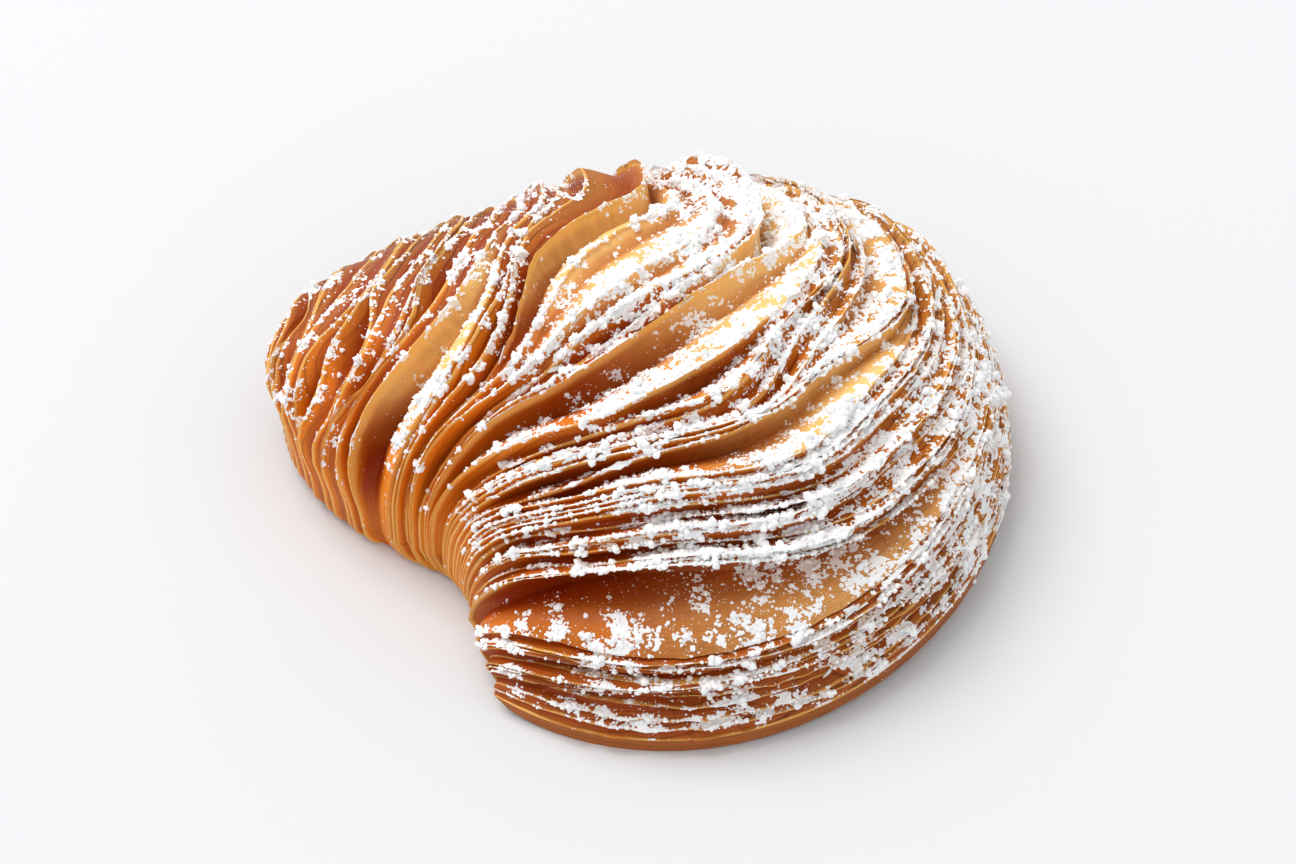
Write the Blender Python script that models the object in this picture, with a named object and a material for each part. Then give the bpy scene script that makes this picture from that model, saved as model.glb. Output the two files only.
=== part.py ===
"""Sfogliatella riccia: a clam-shaped pastry of fanned leaves, one solid lying on its flat side.

The body is lofted from arches. Each arch springs from the pinched near edge, rises over the
filling and comes down on the far edge; together they fan from the small tip at -X to the wide
rim that curves round +X. Leaf edges run along the arches as ridges, and where bundles of leaves
have parted, a gap opens between two ridges and the surface sinks to a floor.

Lengths in the tables are millimetres, the scene is in metres, and +Z is up.
"""

from typing import NamedTuple

import bpy
import numpy as np

MM = 0.001

# Driving dimensions of the folded surface.
LEAVES = 28  # ridges from tip to rim
ARCH_STEPS = 36  # columns over the top
BASE_STEPS = 18  # columns under the pastry
ARCH_CROWDING, BASE_CROWDING = 0.35, 0.7  # how far the columns crowd towards the feet
LEAF_DEPTH = 1.1  # how far an ordinary leaf sinks behind its ridge
ARCH_ROUNDNESS = 0.6  # exponent of the arch: 1 is a sine, less is fuller
BASE_ROUND = 0.3  # share of the half width that the rounded bottom edge takes
BASE_SWELL_START, BASE_SWELL_END = -3.0, 50.5  # bulge of the underside, at the tip and the rim
LIFT_CENTRE, LIFT_REACH = 0.62, 0.5  # where along its arch the rim is raised off the table
LEAN = 0.155  # how far the ridges lean towards the rim over the top, as a share of the fan
LEAN_PLACE_POWER, LEAN_TURN_POWER, LEAN_TURN_SPAN = 0.7, 0.9, 0.95  # how soon they lean
LEAN_HOLD = 0.66  # place along the arch from which they swing back
FLOOR_AT_TIP, FLOOR_AT_RIM = 0.75, 0.25  # where between two ridges an ordinary leaf is lowest
EDGE_FADE = 0.10  # share of the arch over which folds fade at its near and far feet
EDGE_DEPTH = 0.35  # depth that is left at the feet
FULLY_LIFTED_TO = 0.5  # place in the fan up to which the whole arch has the table's lift
THICKEST_SINK = 0.45  # folds sink at most this share of the local height
FACE_CURVE = 1.7  # how long a leaf stays high before it dips
FACE_PLACE = 0.6  # where between a ridge and its floor the leaf's middle row lies


class Station(NamedTuple):
    """One arch: where it stands in the fan (0 tip, 1 rim), its two feet, and its size."""

    along: float
    near_x: float
    near_y: float
    far_x: float
    far_y: float
    lift: float  # height of the underside above the table
    foot: float  # height of the feet above the underside
    swell: float  # bulge of the arch's crown towards the front right
    height: float  # rise of the crown above the feet


STATIONS = (
    Station(0.00, -59, 62.5, -59, 64, 8, 4, -2.0, 1),
    Station(0.04, -59, 56.5, -57.5, 70, 4, 4.5, -3.0, 10),
    Station(0.12, -55.5, 47.5, -51, 78, 1.5, 5.5, -5.0, 16.5),
    Station(0.22, -48, 39.5, -37.5, 86, 0, 6, -5.0, 23.5),
    Station(0.34, -39.5, 34, -19, 91, 0, 5, -3.0, 32),
    Station(0.46, -33.5, 31, 0, 95, 0, 5, 1.0, 37.5),
    Station(0.58, -29.5, 26, 18, 97, 0, 5, 13.0, 39),
    Station(0.68, -27.5, 22, 29, 97, 0, 5, 25.0, 37),
    Station(0.78, -27, 17, 35.5, 97, 0, 5, 37.0, 30),
    Station(0.88, -25, 12, 39, 97, 1, 5, 46.0, 18),
    Station(0.95, -23.5, 8, 40, 97, 2.5, 5, 49.0, 8),
    Station(1.00, -23, 6, 40, 96, 3.5, 3, 50.5, 0),
)


class Gap(NamedTuple):
    """A lens-shaped opening between two bundles of leaves."""

    name: str
    after: float  # share of the leaves that lie on its tip side
    centre: float  # its middle along the arch, 0 at the near foot and 1 at the far foot
    reach: float  # half its length along the arch
    spread: float  # its width, as a share of the closed fan
    depth: float  # mm
    floor: float  # where its floor lies, 0 at the tip-side ridge and 1 at the other


GAPS = (
    Gap("tip slit", 0.165, 0.22, 0.20, 0.040, 4.0, 0.80),
    Gap("tip hollow", 0.190, 0.38, 0.15, 0.050, 4.5, 0.75),
    Gap("brow slit", 0.265, 0.46, 0.16, 0.030, 3.5, 0.70),
    Gap("side lip", 0.283, 0.16, 0.36, 0.035, 0.3, 0.30),
    Gap("side hollow", 0.300, 0.22, 0.36, 0.125, 6.0, 0.22),
    Gap("side slit", 0.327, 0.28, 0.20, 0.035, 3.5, 0.75),
    Gap("fin flank", 0.322, 0.72, 0.28, 0.030, 0.5, 0.75),
    Gap("fin side", 0.340, 0.72, 0.28, 0.030, 0.5, 0.75),
    Gap("fin face", 0.352, 0.72, 0.28, 0.035, 0.5, 0.75),
    Gap("crown hollow", 0.362, 0.56, 0.36, 0.030, 4.5, 0.25),
    Gap("crown slope", 0.376, 0.52, 0.33, 0.045, 0.5, 0.30),
    Gap("crown middle", 0.394, 0.52, 0.33, 0.025, 0.3, 0.30),
    Gap("waist slit", 0.405, 0.14, 0.14, 0.030, 4.0, 0.80),
    Gap("crown notch", 0.420, 0.68, 0.24, 0.040, 5.0, 0.25),
    Gap("middle hollow", 0.450, 0.36, 0.38, 0.100, 7.0, 0.22),
    Gap("shoulder slit", 0.482, 0.42, 0.14, 0.045, 4.0, 0.25),
    Gap("shoulder face", 0.540, 0.74, 0.32, 0.060, 2.5, 0.25),
    Gap("waist hollow", 0.560, 0.19, 0.13, 0.035, 4.0, 0.30),
    Gap("long hollow", 0.575, 0.42, 0.30, 0.055, 4.5, 0.24),
    Gap("lower slit", 0.685, 0.36, 0.14, 0.020, 2.5, 0.30),
    Gap("mouth hollow", 0.795, 0.23, 0.42, 0.190, 8.5, 0.18),
)


class Horn(NamedTuple):
    """A leaf edge that stands up past its neighbours over the far side."""

    after: float
    centre: float
    reach: float
    rise: float  # mm


HORNS = (
    Horn(0.300, 0.74, 0.10, 2.5),
    Horn(0.357, 0.77, 0.11, 4.0),
    Horn(0.393, 0.78, 0.10, 4.0),
    Horn(0.539, 0.82, 0.10, 2.5),
    Horn(0.634, 0.85, 0.10, 2.0),
    Horn(0.729, 0.85, 0.10, 1.5),
)

CRUST_COLOUR = (0.48, 0.20, 0.06, 1.0)
CRUST_ROUGHNESS = 0.5


def clear_scene():
    for obj in list(bpy.data.objects):
        bpy.data.objects.remove(obj, do_unlink=True)


def smooth_step(value):
    value = np.clip(value, 0.0, 1.0)
    return value * value * (3.0 - 2.0 * value)


def window(turn, centre, reach):
    """A smooth bump along the arch, 1 at the centre and 0 beyond the reach."""
    offset = np.clip(np.abs(turn - centre) / reach, 0.0, 1.0)
    return np.cos(np.pi / 2 * offset) ** 2


def sections(along):
    """The stations' values at any place in the fan, by a cubic through the table."""
    table = np.array(STATIONS, float)
    knots, values = table[:, 0], table[:, 1:]
    steps = np.diff(knots)
    slopes = np.diff(values, axis=0) / steps[:, None]
    tangents = np.vstack([slopes[:1], slopes[:-1], slopes[-1:]])
    inner = slopes[:-1] * steps[1:, None] + slopes[1:] * steps[:-1, None]
    tangents[1:-1] = inner / (knots[2:] - knots[:-2])[:, None]

    along = np.clip(along, 0.0, 1.0)
    span = np.clip(np.searchsorted(knots, along, side="right") - 1, 0, len(steps) - 1)
    t = ((along - knots[span]) / steps[span])[..., None]
    width = steps[span][..., None]
    return (
        values[span] * (1 + 2 * t) * (1 - t) ** 2
        + tangents[span] * width * t * (1 - t) ** 2
        + values[span + 1] * t**2 * (3 - 2 * t)
        + tangents[span + 1] * width * t**2 * (t - 1)
    )


def body_point(along, turn):
    """The smooth body: turn runs 0 to 1 over the top from near to far, and 1 to 2 back below."""
    near_x, near_y, far_x, far_y, lift, foot, swell, height = np.moveaxis(sections(along), -1, 0)
    angle = np.pi * turn
    rise = np.abs(np.sin(angle))
    over = turn <= 1.0

    half_x, half_y = (far_x - near_x) / 2, (far_y - near_y) / 2
    half = np.hypot(half_x, half_y)
    base_swell = BASE_SWELL_START + (BASE_SWELL_END - BASE_SWELL_START) * along
    push = np.where(over, swell, base_swell) * rise / half
    x = (near_x + far_x) / 2 - half_x * np.cos(angle) + half_y * push
    y = (near_y + far_y) / 2 - half_y * np.cos(angle) - half_x * push

    inset = 1.0 - np.clip(rise / BASE_ROUND, 0.0, 1.0)
    rounded = 1.0 - np.sqrt(1.0 - inset**2)
    arch = np.where(over, turn, 2.0 - turn)
    raised = np.where(along < FULLY_LIFTED_TO, 1.0, window(arch, LIFT_CENTRE, LIFT_REACH))
    above = np.where(over, foot + height * rise**ARCH_ROUNDNESS, foot * rounded)
    return np.stack([x, y, np.maximum(lift, 0.0) * raised + above], -1)


def outward(along, turn):
    """Unit normals of the smooth body, pointing out of the food."""
    step = 1e-3
    before, after = np.clip(along - step, 0, 1), np.clip(along + step, 0, 1)
    low, high = np.clip(turn - step, 0, 1), np.clip(turn + step, 0, 1)
    across = body_point(after, turn) - body_point(before, turn)
    over = body_point(along, high) - body_point(along, low)
    normal = np.cross(across, over)
    return normal / np.maximum(np.linalg.norm(normal, axis=-1, keepdims=True), 1e-9)


def ridge_place(share, turn):
    """Where in the fan the ridge with this share of the leaves behind it runs."""
    whole = np.ones_like(turn)
    place = share * whole
    for gap in GAPS:
        opened = gap.spread * window(turn, gap.centre, gap.reach)
        whole = whole + opened
        place = place + opened * (share > gap.after)
    place = place / whole
    swing = np.sin(np.pi * place**LEAN_PLACE_POWER)
    rising = np.sin(np.pi * np.minimum(LEAN_TURN_SPAN * turn**LEAN_TURN_POWER, 0.5)) ** 2
    falling = np.cos(np.pi / 2 * np.clip((turn - LEAN_HOLD) / (1 - LEAN_HOLD), 0.0, 1.0)) ** 2
    return place + LEAN * swing * rising * falling


def leaf_profile(leaf, turn):
    """(depth behind the ridge, where between two ridges it is deepest) all along the arch."""
    depth = LEAF_DEPTH * np.ones_like(turn)
    floor = FLOOR_AT_TIP + (FLOOR_AT_RIM - FLOOR_AT_TIP) * leaf / LEAVES * np.ones_like(turn)
    for gap in GAPS:
        if leaf / LEAVES <= gap.after < (leaf + 1) / LEAVES:
            opened = window(turn, gap.centre, gap.reach)
            depth = depth + gap.depth * opened
            floor = floor + (gap.floor - floor) * np.sqrt(opened)
    return depth, floor


def leaf_rows(leaf, turn):
    """(place between this ridge and the next, sink) for a leaf's three rows."""
    depth, floor = leaf_profile(leaf, turn)
    half_way = depth * FACE_PLACE**FACE_CURVE
    early = floor < 0.5
    face = np.where(early, 1.0 - FACE_PLACE * (1.0 - floor), FACE_PLACE * floor)
    first, second = np.minimum(floor, face), np.maximum(floor, face)
    yield np.zeros_like(turn), np.zeros_like(turn)
    yield first, np.where(early, depth, half_way)
    yield second, np.where(early, half_way, depth)


def ridge_rise(leaf, turn):
    """How far horns lift this ridge above the smooth body."""
    rise = np.zeros_like(turn)
    for horn in HORNS:
        if leaf == round(horn.after * LEAVES):
            rise = rise + horn.rise * window(turn, horn.centre, horn.reach)
    return rise


def crowded_steps(count, crowding):
    """Places from 0 to 1 that lie closer together towards both ends."""
    even = np.linspace(0.0, 1.0, count + 1)
    return even - crowding * np.sin(2 * np.pi * even) / (2 * np.pi)


def folded_rings():
    """Points of every ring from tip to rim: columns go over the top and back underneath."""
    over = crowded_steps(ARCH_STEPS, ARCH_CROWDING)
    under = 1.0 + crowded_steps(BASE_STEPS, BASE_CROWDING)[1:-1]
    turn = np.concatenate([over, under])
    on_top = turn <= 1.0
    top_turn = np.where(on_top, turn, 2.0 - turn)
    fade = EDGE_DEPTH + (1 - EDGE_DEPTH) * smooth_step(np.minimum(top_turn, 1 - top_turn) / EDGE_FADE)

    rings = []
    for leaf in range(LEAVES):
        this_ridge = ridge_place(leaf / LEAVES, top_turn)
        next_ridge = ridge_place((leaf + 1) / LEAVES, top_turn)
        for row, (place, depth) in enumerate(leaf_rows(leaf, top_turn)):
            along = this_ridge + (next_ridge - this_ridge) * place
            height = sections(along)[..., -1]
            sink = fade * np.minimum(depth, THICKEST_SINK * height)
            if row == 0:
                sink = sink - ridge_rise(leaf, top_turn)
            points = body_point(along, turn)
            normals = outward(along, top_turn)
            rings.append(np.where(on_top[:, None], points - sink[:, None] * normals, points))
    rings.append(body_point(np.ones_like(turn), turn))
    return np.array(rings)


def ring_faces(rings, columns):
    """Quads between neighbouring rings."""
    faces = []
    for row in range(rings - 1):
        for column in range(columns):
            beside = (column + 1) % columns
            a, b = row * columns + column, row * columns + beside
            faces.append((a, a + columns, b + columns, b))
    return faces


def rim_faces(start, columns):
    """Joins the last ring's upper arch to its lower one, which has fewer points."""
    upper = [start + column for column in range(ARCH_STEPS + 1)]
    lower = [start] + [start + column for column in range(columns - 1, ARCH_STEPS, -1)]
    lower.append(start + ARCH_STEPS)
    faces = []
    i, j = 0, 0
    while i < len(upper) - 1 or j < len(lower) - 1:
        upper_next = (i + 1) / (len(upper) - 1)
        lower_next = (j + 1) / (len(lower) - 1)
        if j == len(lower) - 1 or (i < len(upper) - 1 and upper_next <= lower_next):
            corner = (upper[i + 1], upper[i], lower[j])
            i += 1
        else:
            corner = (lower[j + 1], upper[i], lower[j])
            j += 1
        if len(set(corner)) == 3:
            faces.append(corner)
    return faces


def crust_material():
    material = bpy.data.materials.new("baked_crust")
    material.use_nodes = True
    shader = material.node_tree.nodes["Principled BSDF"]
    shader.inputs["Base Color"].default_value = CRUST_COLOUR
    shader.inputs["Roughness"].default_value = CRUST_ROUGHNESS
    shader.inputs["Metallic"].default_value = 0.0
    return material


def make_pastry(collection):
    rings = folded_rings()
    count, columns = rings.shape[:2]
    tip = rings[0].mean(axis=0)
    rings = rings[1:]
    points = np.vstack([rings.reshape(-1, 3), tip]) * MM
    tip_index = len(points) - 1

    faces = ring_faces(count - 1, columns)
    faces += [(tip_index, column, (column + 1) % columns) for column in range(columns)]
    faces += rim_faces((count - 2) * columns, columns)

    low, high = points.min(axis=0), points.max(axis=0)
    points -= [(low[0] + high[0]) / 2, (low[1] + high[1]) / 2, low[2]]

    mesh = bpy.data.meshes.new("pastry")
    mesh.from_pydata(points.tolist(), [], faces)
    mesh.validate()
    mesh.shade_smooth()
    mesh.materials.append(crust_material())
    pastry = bpy.data.objects.new("pastry", mesh)
    collection.objects.link(pastry)
    return pastry


def main():
    clear_scene()
    collection = bpy.data.collections.new("sfogliatella")
    bpy.context.scene.collection.children.link(collection)
    make_pastry(collection)


main()
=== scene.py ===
"""Sfogliatella riccia: the looks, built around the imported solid.

The pastry's surface is a smooth body sheet that a Geometry Nodes tree folds into thin leaves.
Icing sugar is distributed over the folds as true grains, and a fine film of it is painted by the
crust's material. Lengths in the tables are millimetres; Blender's own are metres.
"""

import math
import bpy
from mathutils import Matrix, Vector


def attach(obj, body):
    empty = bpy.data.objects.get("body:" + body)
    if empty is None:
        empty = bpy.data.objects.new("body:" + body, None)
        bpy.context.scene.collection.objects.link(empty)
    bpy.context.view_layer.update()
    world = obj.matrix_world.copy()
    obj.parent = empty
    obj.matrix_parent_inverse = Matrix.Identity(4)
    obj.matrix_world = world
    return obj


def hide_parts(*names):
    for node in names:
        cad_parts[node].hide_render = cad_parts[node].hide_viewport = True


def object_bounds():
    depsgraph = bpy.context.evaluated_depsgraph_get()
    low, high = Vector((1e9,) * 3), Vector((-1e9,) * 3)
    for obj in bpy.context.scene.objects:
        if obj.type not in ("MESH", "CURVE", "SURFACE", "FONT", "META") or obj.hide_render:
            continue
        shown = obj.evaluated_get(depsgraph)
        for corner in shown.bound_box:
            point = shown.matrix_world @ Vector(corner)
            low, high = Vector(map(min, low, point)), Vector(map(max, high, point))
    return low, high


bl_info = {
    "name": "Sfogliatella",
    "version": (1, 0, 0),
    "blender": (4, 5, 0),
    "location": "3D View > Sidebar > Sfogliatella",
    "description": "Folds a sfogliatella's leaves, dusts them with icing sugar and sets the stage",
    "category": "Object",
}

from typing import NamedTuple

import bpy
import numpy as np
from mathutils import Vector

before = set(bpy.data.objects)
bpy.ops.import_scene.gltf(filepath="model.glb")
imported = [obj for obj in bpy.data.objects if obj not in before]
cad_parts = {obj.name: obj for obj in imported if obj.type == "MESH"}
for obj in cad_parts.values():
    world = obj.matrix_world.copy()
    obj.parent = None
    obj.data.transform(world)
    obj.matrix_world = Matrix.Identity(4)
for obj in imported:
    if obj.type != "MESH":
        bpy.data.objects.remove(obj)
CAD_LOW, CAD_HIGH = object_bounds()

MM = 0.001
ROWS_PER_LEAF = 7  # rows of points from one leaf edge to the next
LEAVES_PER_BUNDLE = 4.0
FOLDED_NODE = "pastry"  # the solid whose place the leaves take
AIM = (1.75, -0.3, 14.0)  # where the camera looks, in mm from the middle of the footprint
VIEW_SHIFT = 1.0 / 108.0  # how far the lens is shifted up, as a share of the view's width
WHITE = (0.97, 0.97, 0.97, 1.0)
SHEET_ROWS, SHEET_TURNS = 161, 97  # points of the body sheet along the fan and over the arch
SHEET_MARGIN = 0.01  # how far its map runs on past its edges
DOUBLED_WITHIN = 0.004 * MM  # points closer than this are one
SHARP_FROM = math.radians(38)  # folds sharper than this are shaded sharp
NUMBER = ("NodeSocketFloat", 0.0)
GEOMETRY = ("NodeSocketGeometry", None)
MATERIAL = ("NodeSocketMaterial", None)


# ---------------------------------------------------------------- the form


class Station(NamedTuple):
    """One arch: where it stands in the fan (0 tip, 1 rim), its two feet, and its size."""

    along: float
    near_x: float
    near_y: float
    far_x: float
    far_y: float
    lift: float  # height of the underside above the table
    foot: float  # height of the feet above the underside
    swell: float  # bulge of the arch's crown towards the front right
    height: float  # rise of the crown above the feet


STATIONS = (
    Station(0.00, -59, 62.5, -59, 64, 8, 4, -2.0, 1),
    Station(0.04, -59, 56.5, -57.5, 70, 4, 4.5, -3.0, 10),
    Station(0.12, -55.5, 47.5, -51, 78, 1.5, 5.5, -5.0, 16.5),
    Station(0.22, -48, 39.5, -37.5, 86, 0, 6, -5.0, 23.5),
    Station(0.34, -39.5, 34, -19, 91, 0, 5, -3.0, 32),
    Station(0.46, -33.5, 31, 0, 95, 0, 5, 1.0, 37.5),
    Station(0.58, -29.5, 26, 18, 97, 0, 5, 13.0, 39),
    Station(0.68, -27.5, 22, 29, 97, 0, 5, 25.0, 37),
    Station(0.78, -27, 17, 35.5, 97, 0, 5, 37.0, 30),
    Station(0.88, -25, 12, 39, 97, 1, 5, 46.0, 18),
    Station(0.95, -23.5, 8, 40, 97, 2.5, 5, 49.0, 8),
    Station(1.00, -23, 6, 40, 96, 3.5, 3, 50.5, 0),
)
ARCH_ROUNDNESS = 0.6  # exponent of the arch: 1 is a sine, less is fuller
BASE_ROUND = 0.3  # share of the half width that the rounded bottom edge takes
BASE_SWELL_START, BASE_SWELL_END = -3.0, 50.5  # bulge of the underside, at tip and rim
LIFT_CENTRE, LIFT_REACH = 0.62, 0.5  # where along its arch the rim is raised off the table
LEAN_PLACE_POWER, LEAN_TURN_POWER, LEAN_TURN_SPAN = 0.7, 0.9, 0.95  # how soon the ridges lean
LEAN_HOLD = 0.66  # place along the arch from which they swing back


class Gap(NamedTuple):
    """A lens-shaped opening between two bundles of leaves."""

    name: str
    after: float  # share of the leaves that lie on its tip side
    centre: float  # its middle along the arch, 0 at the near foot and 1 at the far foot
    reach: float  # half its length along the arch
    spread: float  # its width, as a share of the closed fan
    depth: float  # mm
    floor: float  # where its floor lies, 0 at the tip-side ridge and 1 at the other
    pale: float  # how little the oven browned its face
    palest: float  # where along the arch it is palest
    bare: float  # how little sugar reached it


GAPS = (
    Gap("tip slit", 0.165, 0.22, 0.20, 0.040, 5.0, 0.80, 0.0, 0.22, 0.5),
    Gap("tip hollow", 0.190, 0.38, 0.15, 0.050, 5.5, 0.75, 0.0, 0.38, 0.5),
    Gap("brow slit", 0.265, 0.46, 0.16, 0.030, 4.5, 0.70, 0.0, 0.46, 0.5),
    Gap("side lip", 0.283, 0.16, 0.36, 0.035, 0.3, 0.30, 0.0, 0.16, 1.0),
    Gap("side hollow", 0.300, 0.22, 0.36, 0.125, 6.0, 0.24, 1.0, 0.38, 0.0),
    Gap("side slit", 0.327, 0.28, 0.20, 0.035, 3.0, 0.75, 0.0, 0.28, 0.5),
    Gap("fin flank", 0.322, 0.72, 0.28, 0.020, 1.0, 0.75, 0.0, 0.72, 0.2),
    Gap("fin side", 0.340, 0.72, 0.28, 0.020, 1.0, 0.75, 0.0, 0.72, 0.2),
    Gap("fin face", 0.352, 0.72, 0.28, 0.025, 0.5, 0.75, 0.0, 0.72, 1.2),
    Gap("crown hollow", 0.362, 0.56, 0.36, 0.020, 4.5, 0.25, 1.0, 0.58, 0.7),
    Gap("crown slope", 0.376, 0.52, 0.33, 0.045, 0.6, 0.30, 0.6, 0.52, 0.15),
    Gap("crown middle", 0.394, 0.52, 0.33, 0.025, 0.6, 0.30, 0.5, 0.52, 0.05),
    Gap("waist slit", 0.405, 0.14, 0.14, 0.030, 3.0, 0.80, 0.0, 0.14, 0.5),
    Gap("crown notch", 0.436, 0.75, 0.27, 0.050, 7.0, 0.25, 1.0, 0.66, 0.0),
    Gap("middle hollow", 0.450, 0.36, 0.38, 0.100, 7.0, 0.24, 0.7, 0.58, 0.45),
    Gap("shoulder slit", 0.482, 0.42, 0.14, 0.045, 4.0, 0.25, 0.1, 0.42, 0.6),
    Gap("shoulder face", 0.540, 0.74, 0.32, 0.060, 2.5, 0.25, 0.4, 0.74, -0.25),
    Gap("waist hollow", 0.560, 0.19, 0.13, 0.035, 4.5, 0.30, 0.0, 0.19, 0.7),
    Gap("long hollow", 0.575, 0.42, 0.30, 0.055, 5.0, 0.24, 0.7, 0.52, 0.7),
    Gap("lower slit", 0.685, 0.36, 0.14, 0.020, 3.0, 0.30, 0.0, 0.36, 0.3),
    Gap("mouth hollow", 0.795, 0.23, 0.42, 0.190, 9.5, 0.22, 0.28, 0.42, 0.4),
)


class Horn(NamedTuple):
    """A leaf edge that stands up past its neighbours over the far side."""

    after: float
    centre: float
    reach: float
    rise: float  # mm
    before: float  # leaves over which the surface climbs to it
    behind: float  # leaves over which it drops again


HORNS = (
    Horn(0.304, 0.74, 0.10, 2.5, 2.5, 1.0),
    Horn(0.357, 0.77, 0.10, 3.5, 3.0, 0.3),
    Horn(0.429, 0.78, 0.12, 4.5, 2.4, 0.3),
    Horn(0.539, 0.82, 0.10, 2.0, 2.5, 0.8),
    Horn(0.634, 0.85, 0.10, 1.8, 3.0, 0.8),
    Horn(0.729, 0.85, 0.10, 1.2, 3.0, 0.8),
)


class Heap(NamedTuple):
    """A place where more sugar fell than around it, or less if the amount is negative."""

    x: float  # mm
    y: float  # mm
    reach: float  # mm
    amount: float


HEAPS = (
    Heap(25.0, 29.0, 14.0, 0.08),
    Heap(-4.0, 19.0, 12.0, -0.08),
    Heap(25.0, -33.0, 11.0, 0.05),
    Heap(-22.0, -26.0, 8.0, 0.04),
    Heap(-20.0, -44.0, 10.0, 0.05),
)


def sections(along):
    """The stations' values at any place in the fan, by a cubic through the table."""
    table = np.array(STATIONS, float)
    knots, values = table[:, 0], table[:, 1:]
    steps = np.diff(knots)
    slopes = np.diff(values, axis=0) / steps[:, None]
    tangents = np.vstack([slopes[:1], slopes[:-1], slopes[-1:]])
    inner = slopes[:-1] * steps[1:, None] + slopes[1:] * steps[:-1, None]
    tangents[1:-1] = inner / (knots[2:] - knots[:-2])[:, None]

    along = np.clip(along, 0.0, 1.0)
    span = np.clip(np.searchsorted(knots, along, side="right") - 1, 0, len(steps) - 1)
    t = ((along - knots[span]) / steps[span])[..., None]
    width = steps[span][..., None]
    return (
        values[span] * (1 + 2 * t) * (1 - t) ** 2
        + tangents[span] * width * t * (1 - t) ** 2
        + values[span + 1] * t**2 * (3 - 2 * t)
        + tangents[span + 1] * width * t**2 * (t - 1)
    )


def bump(turn, centre, reach):
    """A smooth bump along the arch, 1 at the centre and 0 beyond the reach."""
    offset = np.clip(np.abs(turn - centre) / reach, 0.0, 1.0)
    return np.cos(np.pi / 2 * offset) ** 2


def body_point(along, turn):
    """The smooth body: turn runs 0 to 1 over the top from near to far, and 1 to 2 back below."""
    near_x, near_y, far_x, far_y, lift, foot, swell, height = np.moveaxis(sections(along), -1, 0)
    angle = np.pi * turn
    rise = np.abs(np.sin(angle))
    over = turn <= 1.0

    half_x, half_y = (far_x - near_x) / 2, (far_y - near_y) / 2
    half = np.hypot(half_x, half_y)
    base_swell = BASE_SWELL_START + (BASE_SWELL_END - BASE_SWELL_START) * along
    push = np.where(over, swell, base_swell) * rise / half
    x = (near_x + far_x) / 2 - half_x * np.cos(angle) + half_y * push
    y = (near_y + far_y) / 2 - half_y * np.cos(angle) - half_x * push

    inset = 1.0 - np.clip(rise / BASE_ROUND, 0.0, 1.0)
    rounded = 1.0 - np.sqrt(1.0 - inset**2)
    arch = np.where(over, turn, 2.0 - turn)
    raised = np.where(along < 0.5, 1.0, bump(arch, LIFT_CENTRE, LIFT_REACH))
    above = np.where(over, foot + np.maximum(height, 0.0) * rise**ARCH_ROUNDNESS, foot * rounded)
    return np.stack([x, y, np.maximum(lift, 0.0) * raised + above], -1)


def body_frame(along, turn):
    """(outward unit vectors, mm of surface for the whole fan) of the smooth body."""
    step = 1e-3
    along = np.clip(along, 0.0, 1.0)
    half_turn = np.where(turn <= 1.0, 0.0, 1.0)
    before, after = np.clip(along - step, 0, 1), np.clip(along + step, 0, 1)
    low = np.clip(turn - step, half_turn, half_turn + 1)
    high = np.clip(turn + step, half_turn, half_turn + 1)
    across = body_point(after, turn) - body_point(before, turn)
    over = body_point(along, high) - body_point(along, low)
    normal = np.cross(across, over)
    normal /= np.maximum(np.linalg.norm(normal, axis=-1, keepdims=True), 1e-9)
    stretch = np.linalg.norm(across, axis=-1) / (after - before)
    return normal, stretch


# ---------------------------------------------------------------- node helpers


class Value:
    """A node socket that takes part in plain arithmetic."""

    def __init__(self, graph, socket):
        self.graph = graph
        self.socket = socket

    def math(self, operation, *others, clamp=False):
        settings = {"operation": operation, "use_clamp": clamp}
        return self.graph.value("ShaderNodeMath", settings, dict(enumerate((self, *others))))

    def _swapped(self, operation, other):
        return self.graph.value("ShaderNodeMath", {"operation": operation}, {0: other, 1: self})

    def __add__(self, other):
        return self.math("ADD", other)

    def __sub__(self, other):
        return self.math("SUBTRACT", other)

    def __mul__(self, other):
        return self.math("MULTIPLY", other)

    def __truediv__(self, other):
        return self.math("DIVIDE", other)

    def __pow__(self, other):
        return self.math("POWER", other)

    def __gt__(self, other):
        return self.math("GREATER_THAN", other)

    def __lt__(self, other):
        return self.math("LESS_THAN", other)

    def __rsub__(self, other):
        return self._swapped("SUBTRACT", other)

    def __rtruediv__(self, other):
        return self._swapped("DIVIDE", other)

    def __abs__(self):
        return self.math("ABSOLUTE")

    __radd__ = __add__
    __rmul__ = __mul__

    def clamped(self):
        return self.math("ADD", 0.0, clamp=True)

    def at_least(self, other):
        return self.math("MAXIMUM", other)

    def at_most(self, other):
        return self.math("MINIMUM", other)

    def ramped(self, start, end):
        """0 at start and 1 at end, with soft ends."""
        inputs = {"Value": self, "From Min": start, "From Max": end}
        return self.graph.value("ShaderNodeMapRange", {"interpolation_type": "SMOOTHSTEP"}, inputs)


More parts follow.
